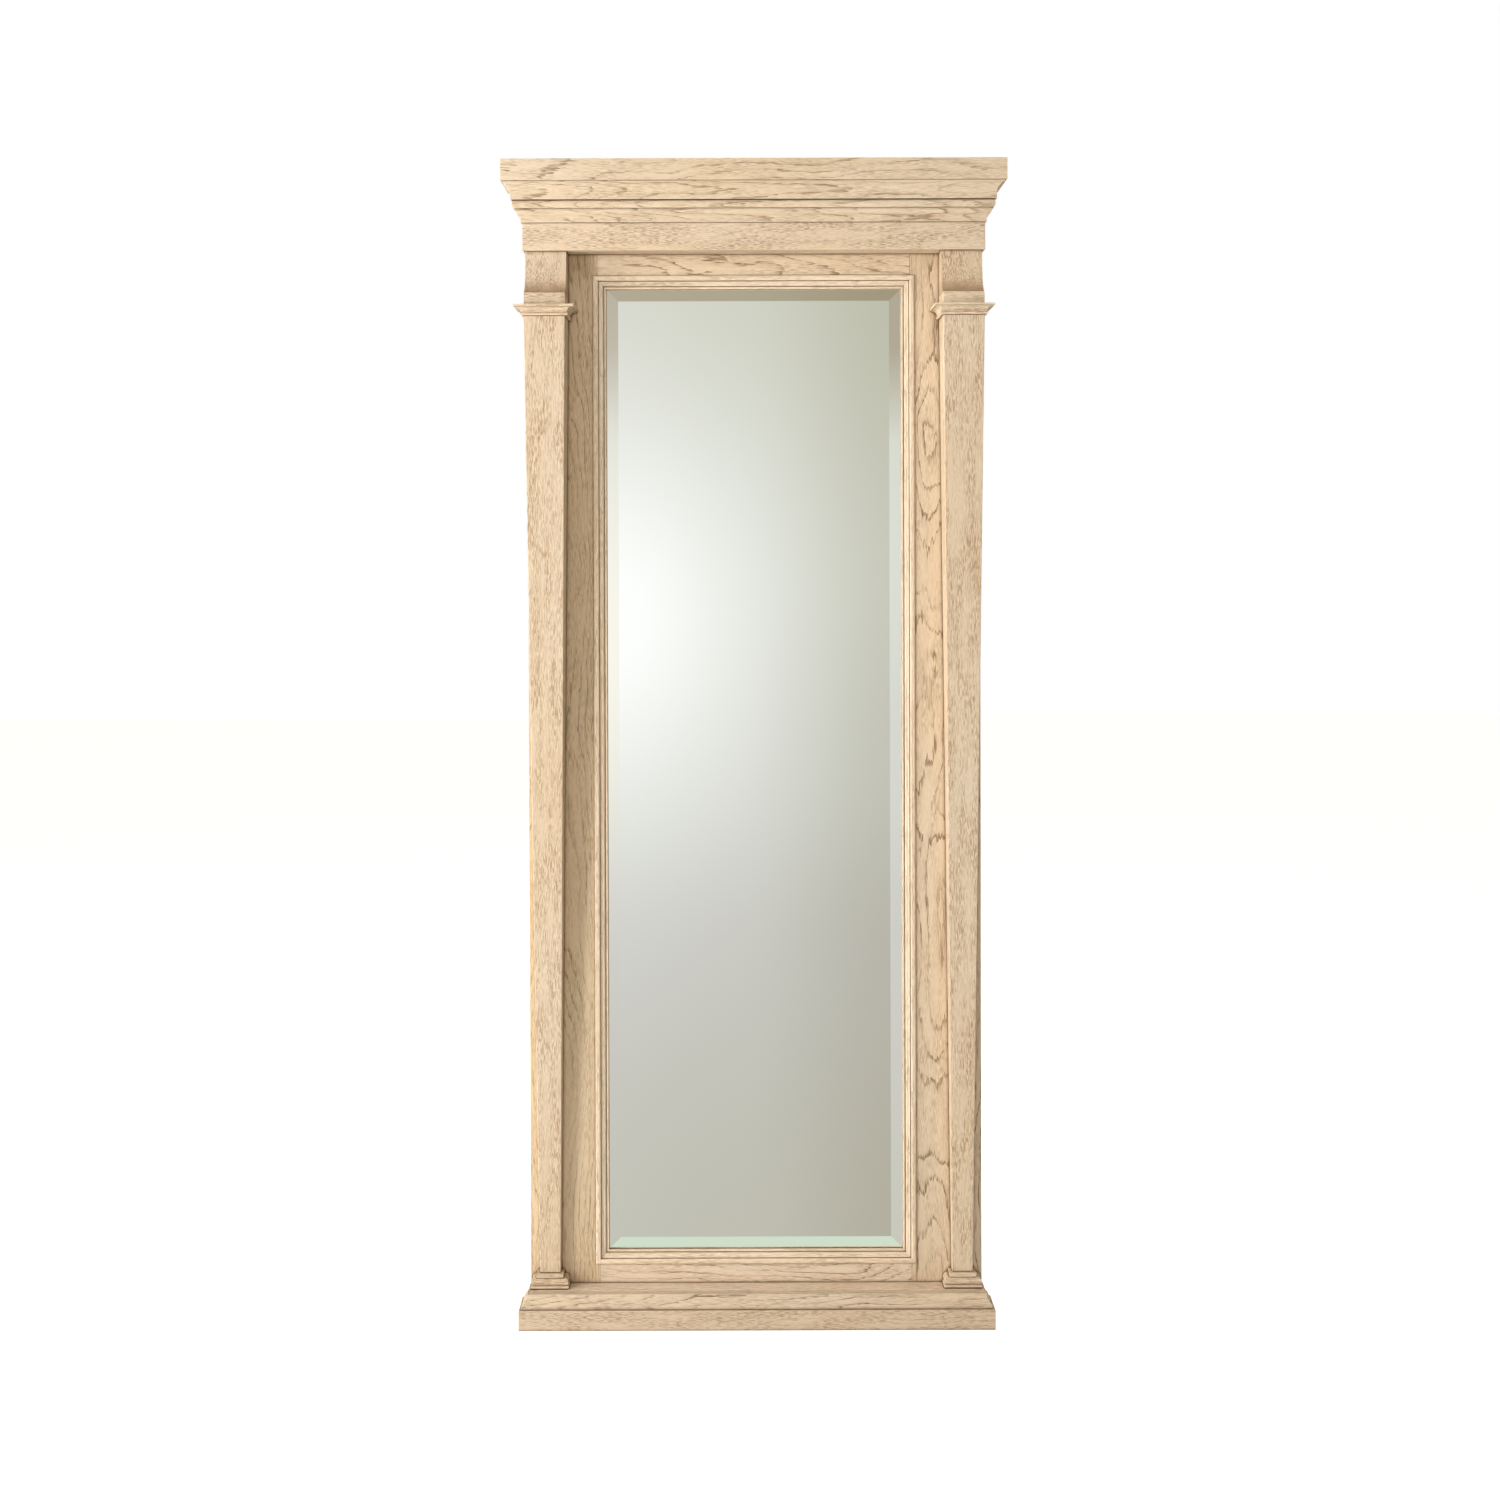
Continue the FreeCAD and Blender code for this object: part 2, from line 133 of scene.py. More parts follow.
def maths(tree, operation, first, second=None, third=None):
    """A Math node; each argument is a socket or a number."""
    node = tree.nodes.new("ShaderNodeMath")
    node.operation = operation
    for place, value in enumerate((first, second, third)):
        if value is None:
            continue
        if isinstance(value, (int, float)):
            node.inputs[place].default_value = value
        else:
            tree.links.new(value, node.inputs[place])
    return node.outputs[0]


def mix(tree, factor, first, second, blend="MIX"):
    """A colour Mix node; the arguments are sockets, numbers or colours."""
    node = tree.nodes.new("ShaderNodeMix")
    node.data_type = "RGBA"
    node.blend_type = blend
    for socket, value in zip((node.inputs[0], node.inputs[6], node.inputs[7]), (factor, first, second)):
        if isinstance(value, bpy.types.NodeSocket):
            tree.links.new(value, socket)
        else:
            socket.default_value = value
    return node.outputs[2]


def ramp(tree, factor, stops, ease="LINEAR"):
    """A colour ramp through (position, colour) stops."""
    node = tree.nodes.new("ShaderNodeValToRGB")
    node.color_ramp.interpolation = ease
    elements = node.color_ramp.elements
    while len(elements) < len(stops):
        elements.new(0.5)
    for element, (position, value) in zip(elements, stops):
        element.position = position
        element.color = value if isinstance(value, tuple) else (value, value, value, 1)
    tree.links.new(factor, node.inputs[0])
    return node.outputs[0]


tree = world.node_tree
tree.nodes.clear()
direction = add(tree, "ShaderNodeTexCoord").outputs["Generated"]
split = add(tree, "ShaderNodeSeparateXYZ")
tree.links.new(direction, split.inputs[0])
height = maths(tree, "MULTIPLY_ADD", split.outputs["Z"], 1.0, 0.5)
mint = colour(210, 224, 205)
ahead = ramp(tree, height, [(0.0, mint), (0.06, mint), (0.11, colour(203, 203, 188)),
                            (0.15, colour(199, 196, 186)), (0.30, colour(203, 201, 196)),
                            (0.40, colour(211, 211, 204)),
                            (0.50, colour(216, 217, 208)), (0.64, colour(211, 211, 199)),
                            (0.72, colour(205, 205, 190)), (0.78, colour(181, 170, 149)),
                            (1.0, colour(170, 158, 136))], "EASE")
right_shade = ramp(tree, maths(tree, "ADD", split.outputs["X"], 0.5),
                   [(0.42, 1.0), (0.50, (0.95, 0.95, 0.93, 1)), (0.59, (0.81, 0.79, 0.73, 1)), (0.72, 1.07)],
                   "EASE")
low = ramp(tree, height, [(0.05, 0.0), (0.14, 1.0)])
wall = mix(tree, low, ahead, mix(tree, 1.0, ahead, right_shade, "MULTIPLY"))
aside = ramp(tree, maths(tree, "ABSOLUTE", split.outputs["X"]), [(0.12, 0.0), (0.17, 1.0)])
above = ramp(tree, height, [(0.57, 0.0), (0.62, 1.0)])
wall = mix(tree, maths(tree, "MULTIPLY", aside, above), wall, colour(180, 170, 152))


def glow(direction, tall, wide, spread, power, value, under):
    """Soft lamp glow at a bearing, laid over the colour under it."""
    apart = add(tree, "ShaderNodeVectorMath", operation="SUBTRACT")
    tree.links.new(split.inputs[0].links[0].from_socket, apart.inputs[0])
    apart.inputs[1].default_value = Vector(direction).normalized()
    flat = add(tree, "ShaderNodeVectorMath", operation="MULTIPLY")
    tree.links.new(apart.outputs[0], flat.inputs[0])
    flat.inputs[1].default_value = (1 / wide, 0.0, 1 / tall)
    length = add(tree, "ShaderNodeVectorMath", operation="LENGTH")
    tree.links.new(flat.outputs[0], length.inputs[0])
    fall = maths(tree, "MULTIPLY", maths(tree, "POWER", length.outputs["Value"], spread), -1.0)
    return mix(tree, maths(tree, "MULTIPLY", maths(tree, "EXPONENT", fall), power), under, value)


wall = glow((-0.070, -1.0, -0.026), 0.120, 0.095, 1.7, 0.98, (1.05, 1.05, 1.04, 1), wall)
wall = glow((-0.215, -1.0, -0.040), 0.110, 0.070, 2.0, 0.97, colour(255, 250, 240), wall)
path = add(tree, "ShaderNodeLightPath")
for_camera = mix(tree, path.outputs["Is Camera Ray"], wall, (1.0, 1.0, 1.0, 1))
diffuse_air = mix(tree, path.outputs["Is Diffuse Ray"], for_camera, (0.27, 0.25, 0.215, 1))
background = add(tree, "ShaderNodeBackground")
tree.links.new(diffuse_air, background.inputs["Color"])
tree.links.new(background.outputs[0], add(tree, "ShaderNodeOutputWorld").inputs[0])


# ---- Stiles and rails ------------------------------------------------------------
# The frame of the mirror: two stiles of flat-sawn oak, 22 mm thick, run the full
# height, and the rails are tenoned between them.  The oak is limed, then wiped with
# a brown glaze that stays in the pores and the corners, where painted shade adds to it.
def oak_figure():
    """Node group: growth rings, pores and tone of oak whose grain runs along Z."""
    group = bpy.data.node_groups.new("oak_figure", "ShaderNodeTree")
    face = group.interface
    face.new_socket("Board", in_out="INPUT", socket_type="NodeSocketVector")
    for name, value in (("Pith Depth", 0.06), ("Ring", 0.005), ("Wander", 1.0), ("Rise", 0.0),
                        ("Dash", 1.0)):
        face.new_socket(name, in_out="INPUT", socket_type="NodeSocketFloat").default_value = value
    for name in ("Rings", "Pores", "Tone", "Flake"):
        face.new_socket(name, in_out="OUTPUT", socket_type="NodeSocketFloat")
    start = group.nodes.new("NodeGroupInput").outputs
    end = group.nodes.new("NodeGroupOutput").inputs

    def noise(scale_x, scale_y, scale_z, detail, roughness=0.5):
        stretch = add(group, "ShaderNodeVectorMath", operation="MULTIPLY")
        group.links.new(start["Board"], stretch.inputs[0])
        stretch.inputs[1].default_value = (scale_x, scale_y, scale_z)
        texture = add(group, "ShaderNodeTexNoise", Scale=1.0, Detail=detail, Roughness=roughness)
        group.links.new(stretch.outputs[0], texture.inputs["Vector"])
        return texture.outputs["Fac"]

    def centred(value, amount):
        return maths(group, "MULTIPLY", maths(group, "SUBTRACT", value, 0.5), amount)

    axes = add(group, "ShaderNodeSeparateXYZ")
    group.links.new(start["Board"], axes.inputs[0])
    sway = centred(noise(4.0, 2.0, 1.3, 1.0), 0.16)
    bulge = centred(noise(9.0, 6.0, 3.6, 2.0), 0.040)
    bend = centred(noise(15.0, 9.0, 5.0, 2.0, 0.55), 0.030)
    across = maths(group, "ADD", axes.outputs["X"], maths(group, "MULTIPLY", bend, start["Wander"]))
    depth = maths(group, "ADD", axes.outputs["Y"], start["Pith Depth"])
    depth = maths(group, "ADD", depth, maths(group, "MULTIPLY", maths(group, "ADD", sway, bulge),
                                             start["Wander"]))
    depth = maths(group, "ADD", depth, maths(group, "MULTIPLY", axes.outputs["Z"], start["Rise"]))
    radius = maths(group, "SQRT", maths(group, "ADD", maths(group, "POWER", across, 2.0),
                                        maths(group, "POWER", depth, 2.0)))
    radius = maths(group, "ADD", radius, centred(noise(60.0, 40.0, 8.0, 3.0), 0.005))
    radius = maths(group, "ADD", radius, centred(noise(330.0, 240.0, 38.0, 1.0), 0.0036))
    phase = maths(group, "FRACT", maths(group, "DIVIDE", radius, start["Ring"]))
    band = ramp(group, phase, [(0.0, 1.0), (0.09, 0.85), (0.17, 0.14), (0.45, 0.0), (0.98, 0.0), (1.0, 1.0)])
    dash = add(group, "ShaderNodeCombineXYZ", X=1.0, Y=1.0)
    group.links.new(start["Dash"], dash.inputs["Z"])
    board = add(group, "ShaderNodeVectorMath", operation="MULTIPLY")
    group.links.new(start["Board"], board.inputs[0])
    group.links.new(dash.outputs[0], board.inputs[1])

    def streaks(scale_x, scale_z, detail):
        stretch = add(group, "ShaderNodeVectorMath", operation="MULTIPLY")
        group.links.new(board.outputs[0], stretch.inputs[0])
        stretch.inputs[1].default_value = (scale_x, scale_x, scale_z)
        texture = add(group, "ShaderNodeTexNoise", Scale=1.0, Detail=detail, Roughness=0.5)
        group.links.new(stretch.outputs[0], texture.inputs["Vector"])
        return texture.outputs["Fac"]

    breaks = ramp(group, streaks(700.0, 32.0, 1.0), [(0.38, 0.2), (0.52, 1.0)])
    fine = ramp(group, streaks(900.0, 62.0, 1.0), [(0.47, 0.0), (0.57, 1.0)])
    cluster = ramp(group, noise(60.0, 60.0, 9.0, 2.0), [(0.34, 0.20), (0.60, 1.0)])
    worn = ramp(group, noise(26.0, 26.0, 7.0, 2.0), [(0.38, 0.30), (0.56, 1.0)])
    rings = maths(group, "MULTIPLY", maths(group, "MULTIPLY", band, breaks), worn)
    group.links.new(rings, end["Rings"])
    group.links.new(maths(group, "MULTIPLY", fine, cluster), end["Pores"])
    group.links.new(noise(7.0, 7.0, 1.6, 3.0), end["Tone"])
    group.links.new(noise(230.0, 230.0, 12.0, 2.0), end["Flake"])
    return group


def shade_and_rub_masks():
    """Node group: glaze plus painted shade in corners, painted contact shadow in seams, painted shade in recesses,
    rubbed wear plus painted highlight on edges.
    """
    group = bpy.data.node_groups.new("corner_shade_and_rub", "ShaderNodeTree")
    face = group.interface
    face.new_socket("Reach", in_out="INPUT", socket_type="NodeSocketFloat").default_value = 0.005
    for name in ("Corners", "Seam", "Recess_Shade", "Rub_And_Highlight"):
        face.new_socket(name, in_out="OUTPUT", socket_type="NodeSocketFloat")
    start = group.nodes.new("NodeGroupInput").outputs
    end = group.nodes.new("NodeGroupOutput").inputs
    # Corners: darkening within reach of an inside corner, used as brown glaze plus painted shade.
    corner = add(group, "ShaderNodeAmbientOcclusion", samples=6)
    group.links.new(start["Reach"], corner.inputs["Distance"])
    group.links.new(ramp(group, corner.outputs["AO"], [(0.50, 1.0), (0.64, 0.7), (0.78, 0.10), (0.90, 0.0)]),
                    end["Corners"])
    # Seam: painted contact shadow, a thin dark line in every tight inside corner.
    seam = add(group, "ShaderNodeAmbientOcclusion", samples=6, Distance=0.0028)
    group.links.new(ramp(group, seam.outputs["AO"], [(0.52, 1.0), (0.80, 0.0)]), end["Seam"])
    # Recess shade: painted shade, brown within 5 cm of any recess.
    recess = add(group, "ShaderNodeAmbientOcclusion", samples=4, Distance=0.05)
    group.links.new(ramp(group, recess.outputs["AO"], [(0.35, 1.0), (0.92, 0.0)]), end["Recess_Shade"])
    # Edges: lighter where the surface turns sharply, partly rubbed wear and partly painted highlight.
    rounded = add(group, "ShaderNodeBevel", samples=4, Radius=0.0022)
    flat = add(group, "ShaderNodeNewGeometry")
    compare = add(group, "ShaderNodeVectorMath", operation="DOT_PRODUCT")
    group.links.new(rounded.outputs[0], compare.inputs[0])
    group.links.new(flat.outputs["Normal"], compare.inputs[1])
    group.links.new(ramp(group, compare.outputs["Value"], [(0.90, 1.0), (0.995, 0.0)]), end["Rub_And_Highlight"])
    return group


oak_group = oak_figure()
shade_and_rub_group = shade_and_rub_masks()
turns = {"up": (0, 0, 0), "up_side": (0, 0, 90), "across": (0, 90, 0), "deep": (90, 0, 90)}
oak_pale = colour(224, 206, 181)
oak_pink = colour(222, 197, 169)
oak_gold = colour(219, 199, 167)
# Glaze brown, also used as painted shade in corners and seams.
glaze_and_shade_brown = colour(88, 58, 30)
# Painted shade at the foot of a hollow fades out over this height.
foot_shade_height = 0.030


def oak(name, node, grain, pith=0.06, ring=0.0070, wander=1.0, rise=0.012, shift=0.0, warmth=0.5,
        dash=1.0, ring_strength=0.92, pore_strength=0.40, reach=0.007, glaze_and_shade=0.60, foot_shade=0.0,
        pore_colour=colour(128, 98, 62), tint=(1, 1, 1, 1)):
    """Limed oak for one board: grain runs up, across or deep, centred on the node.

    Reach and the glaze strength set how far and how strongly corners darken with glaze
    plus painted shade; the foot shade paints shade into the lowest 30 mm of a hollow.
    """
    material = bpy.data.materials.new(name)
    material.use_nodes = True
    tree = material.node_tree
    shader = tree.nodes["Principled BSDF"]
    turn = Euler([math.radians(a) for a in turns[grain]])
    low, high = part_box(node)
    middle = (low + high) / 2
    middle.rotate(turn)
    mapping = add(tree, "ShaderNodeMapping")
    mapping.inputs["Rotation"].default_value = turn
    mapping.inputs["Location"].default_value = Vector((0.011, 0.0, 1.7)) * shift - middle
    tree.links.new(add(tree, "ShaderNodeTexCoord").outputs["Object"], mapping.inputs["Vector"])
    figure = add(tree, "ShaderNodeGroup", node_tree=oak_group)
    tree.links.new(mapping.outputs[0], figure.inputs["Board"])
    for socket, value in (("Pith Depth", pith), ("Ring", ring), ("Wander", wander), ("Rise", rise),
                          ("Dash", dash)):
        figure.inputs[socket].default_value = value
    shade_and_rub = add(tree, "ShaderNodeGroup", node_tree=shade_and_rub_group)
    shade_and_rub.inputs["Reach"].default_value = reach

    hue = mix(tree, warmth, oak_gold, oak_pink)
    tone = ramp(tree, figure.outputs["Tone"], [(0.32, 0.0), (0.68, 1.0)])
    base = mix(tree, tone, oak_pale, hue)
    base = mix(tree, maths(tree, "MULTIPLY", figure.outputs["Flake"], 0.22), base, colour(186, 156, 120))
    base = mix(tree, maths(tree, "MULTIPLY", figure.outputs["Rings"], ring_strength), base,
               colour(112, 81, 47))
    base = mix(tree, maths(tree, "MULTIPLY", figure.outputs["Pores"], pore_strength), base,
               pore_colour)
    # Painted shade: recesses turn brown.
    base = mix(tree, maths(tree, "MULTIPLY", shade_and_rub.outputs["Recess_Shade"], 0.12), base, colour(160, 116, 70))
    # Lighter edges: rubbed wear plus painted highlight.
    base = mix(tree, maths(tree, "MULTIPLY", shade_and_rub.outputs["Rub_And_Highlight"], 0.40), base, colour(240, 221, 194))
    # Corners darken brown: glaze plus painted shade.
    base = mix(tree, maths(tree, "MULTIPLY", shade_and_rub.outputs["Corners"], glaze_and_shade), base, glaze_and_shade_brown)
    # Painted contact shadow along the seams.
    base = mix(tree, maths(tree, "MULTIPLY", shade_and_rub.outputs["Seam"], 0.85), base, glaze_and_shade_brown)
    # Painted shade: darker towards the foot of the board, over its lowest 30 mm.
    if foot_shade > 0:
        height = add(tree, "ShaderNodeSeparateXYZ")
        tree.links.new(add(tree, "ShaderNodeTexCoord").outputs["Object"], height.inputs[0])
        above_foot = maths(tree, "SUBTRACT", height.outputs["Z"], low.z)
        foot_shade_mask = ramp(tree, maths(tree, "DIVIDE", above_foot, foot_shade_height), [(0.0, 1.0), (0.35, 0.75), (1.0, 0.0)])
        base = mix(tree, maths(tree, "MULTIPLY", foot_shade_mask, foot_shade), base, colour(150, 108, 66))
    base = mix(tree, 1.0, base, tint, "MULTIPLY")
    tree.links.new(base, shader.inputs["Base Color"])
    rough = maths(tree, "MULTIPLY_ADD", figure.outputs["Pores"], 0.18, 0.50)
    rough = maths(tree, "MULTIPLY_ADD", figure.outputs["Tone"], 0.10, rough)
    tree.links.new(rough, shader.inputs["Roughness"])
    shader.inputs["Specular IOR Level"].default_value = 0.35
    sunk = maths(tree, "MULTIPLY_ADD", figure.outputs["Rings"], 0.4,
                 maths(tree, "MULTIPLY", figure.outputs["Pores"], 0.6))
    bump = add(tree, "ShaderNodeBump", Strength=0.55, Distance=0.0004, invert=True)
    tree.links.new(sunk, bump.inputs["Height"])
    tree.links.new(bump.outputs[0], shader.inputs["Normal"])
    return material


def board(node, material, ease=0.0011, slot="limed_oak"):
    """The node's shape with its arrises eased by a few strokes of sandpaper."""
    bm = bmesh.new()
    bm.from_mesh(nodes[node].data)
    bmesh.ops.remove_doubles(bm, verts=bm.verts, dist=1e-6)
    bmesh.ops.dissolve_limit(bm, angle_limit=math.radians(0.6), verts=bm.verts, edges=bm.edges)
    arrises = [e for e in bm.edges if e.is_manifold and e.calc_face_angle() > math.radians(28)]
    bmesh.ops.bevel(bm, geom=arrises, offset=ease, offset_type="OFFSET", affect="EDGES", segments=2,
                    profile=0.5, material=-1, clamp_overlap=True)
    mesh = bpy.data.meshes.new(node + "_eased")
    bm.to_mesh(mesh)
    bm.free()
    mesh.shade_smooth()
    mesh.set_sharp_from_angle(angle=math.radians(50))
    mesh.materials.clear()
    mesh.materials.append(material)
    piece = bpy.data.objects.new(node + "_eased", mesh)
    true_faces = piece.modifiers.new("true_faces", "WEIGHTED_NORMAL")
    true_faces.keep_sharp = True
    true_faces.weight = 100
    scene.collection.objects.link(piece)
    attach(piece, "mirror_frame")
    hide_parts(node)
    return piece


# The left stile is tinted darker and browner: painted shade for the shadow of the left pilaster.
board("stile_left", oak("oak_stile_left", "stile_left", "up", pith=0.058, shift=1.0, warmth=0.3,
                          ring_strength=0.66, tint=(0.96, 0.925, 0.85, 1)))
board("stile_right", oak("oak_stile_right", "stile_right", "up", pith=0.046, shift=2.0, warmth=0.4))
# Both rails are tinted lighter: painted light making up for the shade they sit in.
board("top_rail", oak("oak_top_rail", "top_rail", "across", pith=0.042, rise=0.035, shift=3.0,
                      tint=(1.13, 1.15, 1.17, 1)))
board("bottom_rail", oak("oak_bottom_rail", "bottom_rail", "across", pith=0.046, rise=0.045, shift=4.0,
                         tint=(1.08, 1.11, 1.18, 1)))
for side, shift in (("left", 5.0), ("right", 6.0)):
    node = "side_board_" + side
    board(node, oak("oak_" + node, node, "up_side", pith=0.09, ring=0.0045, shift=shift))


# ---- Moulding round the glass -------------------------------------------------------
# Four lengths of one narrow oak moulding, mitred at the corners, lap over the frame
# and hold the glass from the front.  Both quirks are darkened with brown glaze and painted shade.
for number, end_name in enumerate(("top", "bottom", "left", "right")):
    node = "glass_moulding_" + end_name
    grain = "across" if end_name in ("top", "bottom") else "up"
    # Painted light: each length is tinted lighter, the left most, the right least.
    painted_brightness = {"right": 1.06, "left": 1.18}.get(end_name, 1.15)
    board(node, oak("oak_" + node, node, grain, pith=0.10, ring=0.0050, wander=0.6,
                    shift=7.0 + number, ring_strength=0.4, reach=0.004, glaze_and_shade=0.30,
                    tint=(painted_brightness, painted_brightness * 1.01, painted_brightness * 1.03, 1)), ease=0.0003)


# ---- Mirror --------------------------------------------------------------------------
# A 5 mm plate silvered on its back, with a 30 mm bevel polished all round.
silver = bpy.data.materials.new("silvered_plate")
silver.use_nodes = True
shader = silver.node_tree.nodes["Principled BSDF"]
shader.inputs["Metallic"].default_value = 1.0
tree = silver.node_tree
cloud = add(tree, "ShaderNodeTexNoise", Scale=3.0, Detail=2.0)
tree.links.new(add(tree, "ShaderNodeTexCoord").outputs["Object"], cloud.inputs["Vector"])
tree.links.new(maths(tree, "MULTIPLY_ADD", cloud.outputs["Fac"], 0.012, 0.014), shader.inputs["Roughness"])
tree.links.new(mix(tree, cloud.outputs["Fac"], (0.960, 0.984, 0.968, 1), (0.970, 0.986, 0.972, 1)),
               shader.inputs["Base Color"])
nodes["mirror_glass"].data.materials.clear()
nodes["mirror_glass"].data.materials.append(silver)


# ---- Pilasters ------------------------------------------------------------------------
# On each stile stands a shaft of straight-grained oak that narrows towards the floor,
# on a stepped plinth; over it a capital, a plain neck and a hollow corbel.
# The left pilaster is tinted darker than the right as painted shade; capital and neck are tinted lighter as
# painted light, and the corbel's foot gets painted shade.
for side, start, painted_brightness in (("left", 20.0, 0.93), ("right", 30.0, 0.99)):
    shaft_painted_light = (painted_brightness, painted_brightness, painted_brightness, 1)
    head_painted_light = (painted_brightness * 1.08, painted_brightness * 1.09, painted_brightness * 1.10, 1)
    for number, (name, grain, ease, reach) in enumerate((
            ("plinth_foot", "across", 0.0003, 0.006), ("plinth_fillet", "across", 0.0006, 0.004),
            ("pilaster_shaft", "up", 0.0012, 0.003), ("capital", "across", 0.0003, 0.003),
            ("pilaster_neck", "across", 0.0006, 0.004), ("corbel", "up", 0.0009, 0.006))):
        node = name + "_" + side
        board(node, oak("oak_" + node, node, grain, pith=0.24, ring=0.0034, wander=0.35, rise=0.004,
                        shift=start + number, ring_strength=0.30, pore_strength=0.66, dash=1.15,
                        reach=reach, glaze_and_shade=0.45, foot_shade=0.55 if name == "corbel" else 0.0,
                        pore_colour=colour(150, 112, 68),
                        tint=head_painted_light if name in ("capital", "pilaster_neck") else shaft_painted_light),
              ease=ease)


# ---- Frieze, soffit, crown and top board -----------------------------------------------
# A plain box of boards carries the crown moulding, mitred round the front and both
# ends; a board closes the top and another the underside.
board("frieze_front", oak("oak_frieze_front", "frieze_front", "across", pith=0.20, ring=0.0036,
                          wander=0.5, shift=41.0, ring_strength=0.34, pore_strength=0.60,
                          dash=1.4, warmth=0.75))
board("soffit_board", oak("oak_soffit_board", "soffit_board", "across", shift=42.0,
                          tint=(0.96, 0.96, 0.96, 1)))
board("top_board", oak("oak_top_board", "top_board", "across", shift=43.0))
board("crown_front", oak("oak_crown_front", "crown_front", "across", pith=0.036, wander=0.75,
                         rise=0.035, shift=44.0, warmth=0.35, ring_strength=0.78, reach=0.010), ease=0.0004)
for side, shift in (("left", 45.0), ("right", 46.0)):
    for name, ease in (("frieze_return_", 0.0009), ("crown_return_", 0.0004)):
        node = name + side
        board(node, oak("oak_" + node, node, "deep", pith=0.06, shift=shift, reach=0.008), ease=ease)


# ---- Base ---------------------------------------------------------------------------------
# Mitred boards stand on the floor, a cap moulding runs round them and a flat ledge
# carries the plinths.  Glue blocks behind hold them to the frame.
board("base_front", oak("oak_base_front", "base_front", "across", pith=0.14, ring=0.0040, shift=51.0,
                        warmth=0.85, ring_strength=0.40, pore_strength=0.58, dash=1.3,
                        tint=(0.93, 0.925, 0.915, 1)))
board("base_cap_front", oak("oak_base_cap_front", "base_cap_front", "across", pith=0.030,
                            rise=0.035, wander=0.65, shift=52.0, reach=0.010,
                            tint=(0.96, 0.95, 0.95, 1)),
      ease=0.0004)
# The ledge is tinted lighter: painted light on its top.
board("base_ledge", oak("oak_base_ledge", "base_ledge", "across", pith=0.16, shift=53.0,
                        tint=(1.15, 1.17, 1.24, 1)))
for side, shift in (("left", 54.0), ("right", 55.0)):
    for name, ease in (("base_return_", 0.0009), ("base_cap_return_", 0.0004)):
        node = name + side
        board(node, oak("oak_" + node, node, "deep", pith=0.07, shift=shift), ease=ease)


# ---- Boards and blocks at the back -----------------------------------------------------------
# Plain unfinished poplar, planed and glued: cross boards between the side boards,
# corner blocks in the frame, and the battens that hold the glass in.
raw_wood = (0.93, 0.90, 0.78, 1)
poplar_pieces = ("back_cross_board_top", "back_cross_board_bottom", "corner_blocks", "base_glue_blocks",
                 "glass_batten_top", "glass_batten_bottom", "glass_batten_left", "glass_batten_right")
for number, node in enumerate(poplar_pieces):
    grain = "up" if node in ("glass_batten_left", "glass_batten_right") else "across"
    shift = 61.0 + number
    board(node, oak("poplar_" + node, node, grain, pith=0.07, ring=0.006, wander=0.6, shift=shift,
                    ring_strength=0.22, pore_strength=0.06, tint=raw_wood), slot="secondary_wood")


# ---- Backing board and back panel -----------------------------------------------------------
# Brown hardboard: one sheet lies against the silvering, the other is screwed over it.
def pressed_board(name, shade):
    material = bpy.data.materials.new(name)
    material.use_nodes = True
    tree = material.node_tree
    shader = tree.nodes["Principled BSDF"]
    place = add(tree, "ShaderNodeTexCoord").outputs["Object"]
    fibres = add(tree, "ShaderNodeTexNoise", Scale=420.0, Detail=4.0, Roughness=0.7)
    clouds = add(tree, "ShaderNodeTexNoise", Scale=5.0, Detail=3.0)
    tree.links.new(place, fibres.inputs["Vector"])
    tree.links.new(place, clouds.inputs["Vector"])
    dark = tuple(0.68 * v for v in shade[:3]) + (1,)
    tone = mix(tree, ramp(tree, fibres.outputs["Fac"], [(0.35, 0.0), (0.7, 1.0)]), dark, shade)
    tone = mix(tree, maths(tree, "MULTIPLY", clouds.outputs["Fac"], 0.25), tone, dark)
    tree.links.new(tone, shader.inputs["Base Color"])
    shader.inputs["Roughness"].default_value = 0.62
    bump = add(tree, "ShaderNodeBump", Strength=0.25, Distance=0.0003)
    tree.links.new(fibres.outputs["Fac"], bump.inputs["Height"])
    tree.links.new(bump.outputs[0], shader.inputs["Normal"])
    return material


board("back_panel", pressed_board("hardboard_panel", colour(142, 102, 66)), ease=0.0005, slot="hardboard")
nodes["backing_board"].data.materials.clear()
nodes["backing_board"].data.materials.append(pressed_board("hardboard_backing", colour(120, 86, 58)))


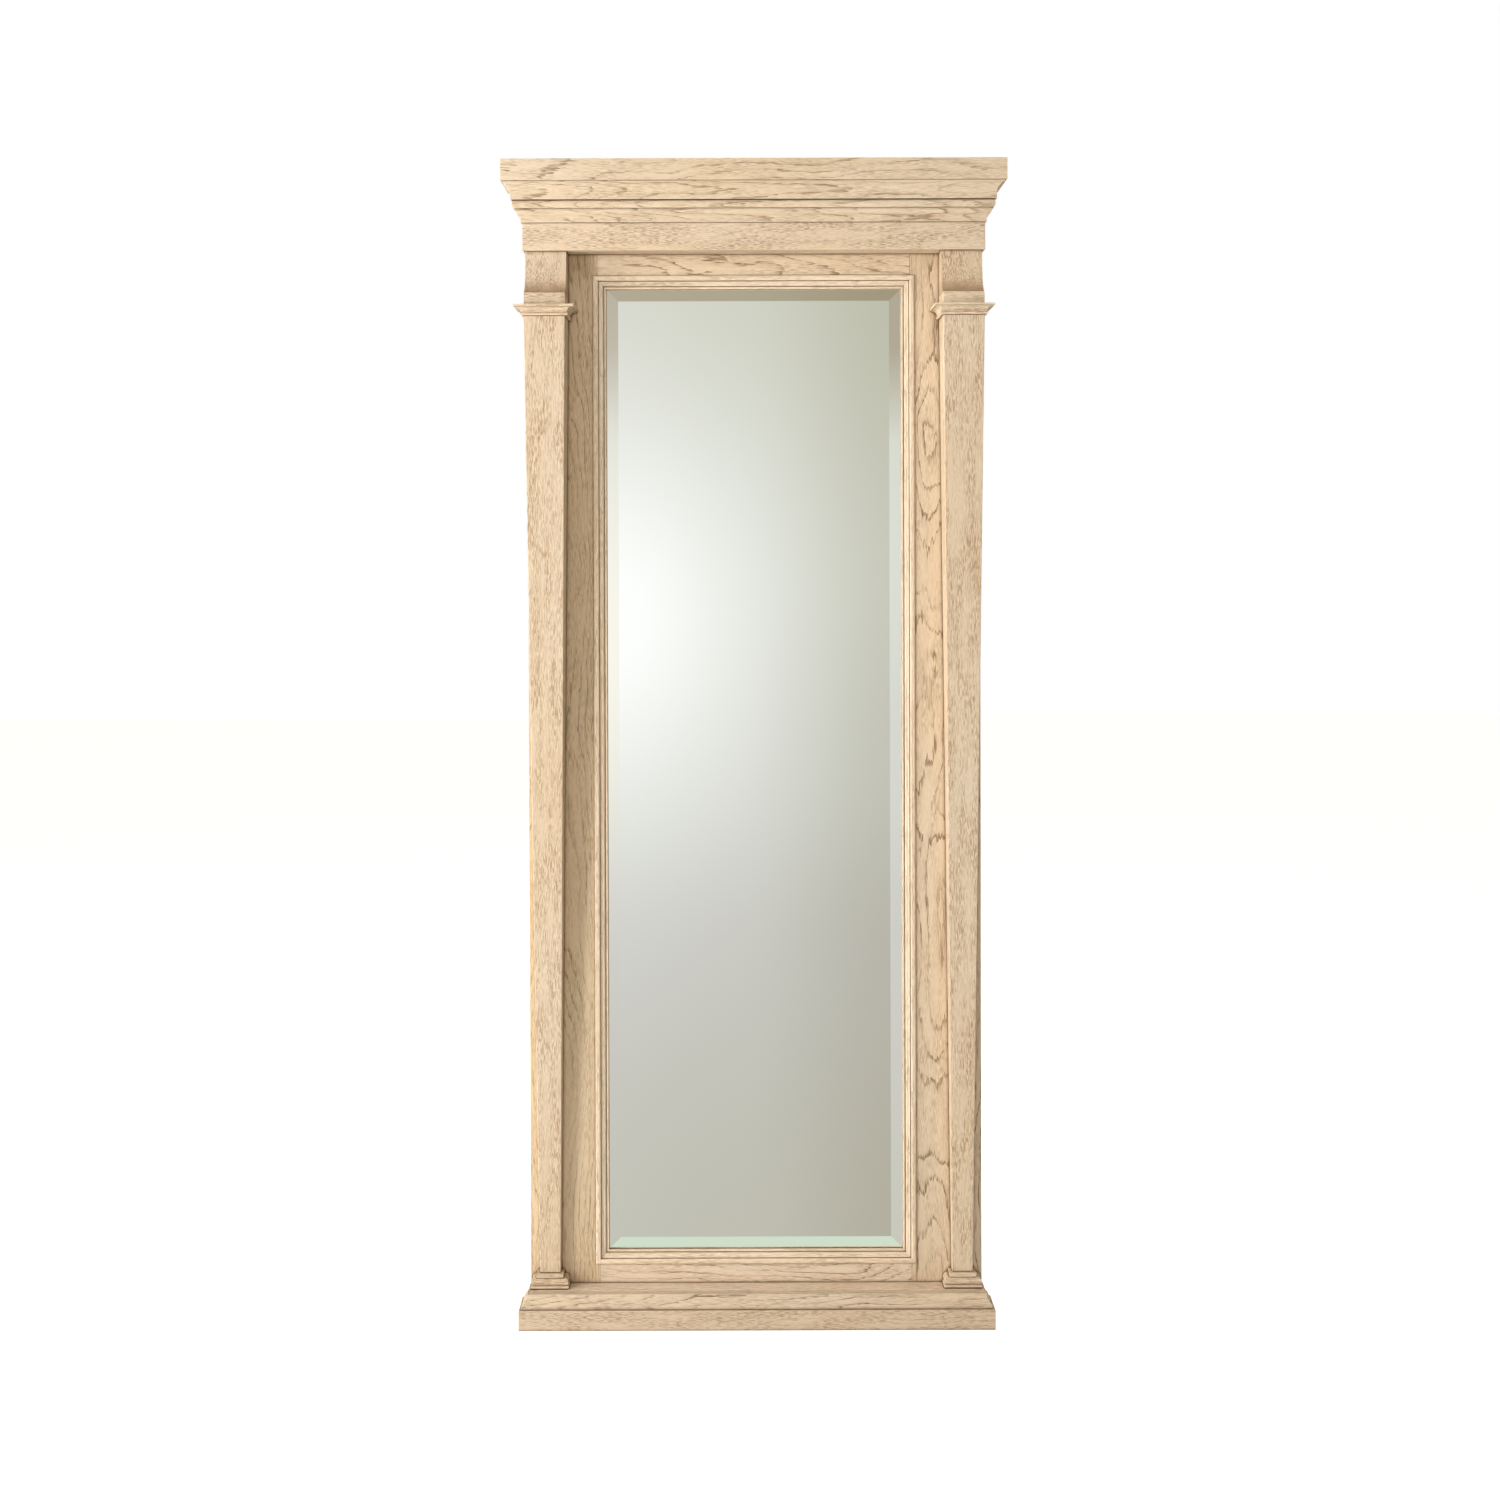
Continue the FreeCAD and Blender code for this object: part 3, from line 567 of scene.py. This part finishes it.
# ---- Screws, hanger plates, rings and bumpers -------------------------------------------------
# Zinc-plated steel, slightly dull: pan-head screws, two folded plates and the wire
# rings that swing in them.  The bumpers are soft grey rubber, stuck on.
def plated_steel(name, shade, roughness):
    material = bpy.data.materials.new(name)
    material.use_nodes = True
    tree = material.node_tree
    shader = tree.nodes["Principled BSDF"]
    place = add(tree, "ShaderNodeTexCoord").outputs["Object"]
    spangle = add(tree, "ShaderNodeTexNoise", Scale=900.0, Detail=2.0)
    tree.links.new(place, spangle.inputs["Vector"])
    dull = tuple(0.72 * v for v in shade[:3]) + (1,)
    shade_and_rub = add(tree, "ShaderNodeGroup", node_tree=shade_and_rub_group)
    shade_and_rub.inputs["Reach"].default_value = 0.003
    tone = mix(tree, ramp(tree, spangle.outputs["Fac"], [(0.4, 0.0), (0.6, 1.0)]), dull, shade)
    # Painted shade: the steel turns grey in its corners.
    tone = mix(tree, maths(tree, "MULTIPLY", shade_and_rub.outputs["Corners"], 0.5), tone, colour(90, 88, 84))
    tree.links.new(tone, shader.inputs["Base Color"])
    shader.inputs["Metallic"].default_value = 1.0
    rough = maths(tree, "MULTIPLY_ADD", spangle.outputs["Fac"], 0.2, roughness)
    tree.links.new(rough, shader.inputs["Roughness"])
    return material


def eased_node(node, material, ease, smooth=40):
    """The node itself, welded, with a small bevel on its sharp edges."""
    part = nodes[node]
    weld = part.modifiers.new("weld", "WELD")
    weld.merge_threshold = 1e-6
    bevel = part.modifiers.new("ease", "BEVEL")
    bevel.width = ease
    bevel.segments = 2
    bevel.limit_method = "ANGLE"
    bevel.angle_limit = math.radians(smooth)
    part.data.materials.clear()
    part.data.materials.append(material)


zinc = plated_steel("zinc_plate", colour(196, 198, 200), 0.28)
screw_steel = plated_steel("screw_zinc", colour(188, 186, 178), 0.30)
for node in ("hanger_plate_left", "hanger_plate_right", "d_ring_left", "d_ring_right"):
    eased_node(node, zinc, 0.0002)
for node in ("hanger_screws", "back_panel_screws"):
    eased_node(node, screw_steel, 0.0002)

rubber = bpy.data.materials.new("bumper_rubber")
rubber.use_nodes = True
shader = rubber.node_tree.nodes["Principled BSDF"]
tree = rubber.node_tree
grain = add(tree, "ShaderNodeTexNoise", Scale=1500.0, Detail=2.0)
tree.links.new(add(tree, "ShaderNodeTexCoord").outputs["Object"], grain.inputs["Vector"])
tree.links.new(mix(tree, grain.outputs["Fac"], colour(52, 52, 52), colour(70, 69, 67)),
               shader.inputs["Base Color"])
shader.inputs["Roughness"].default_value = 0.75
eased_node("wall_bumpers", rubber, 0.0006)
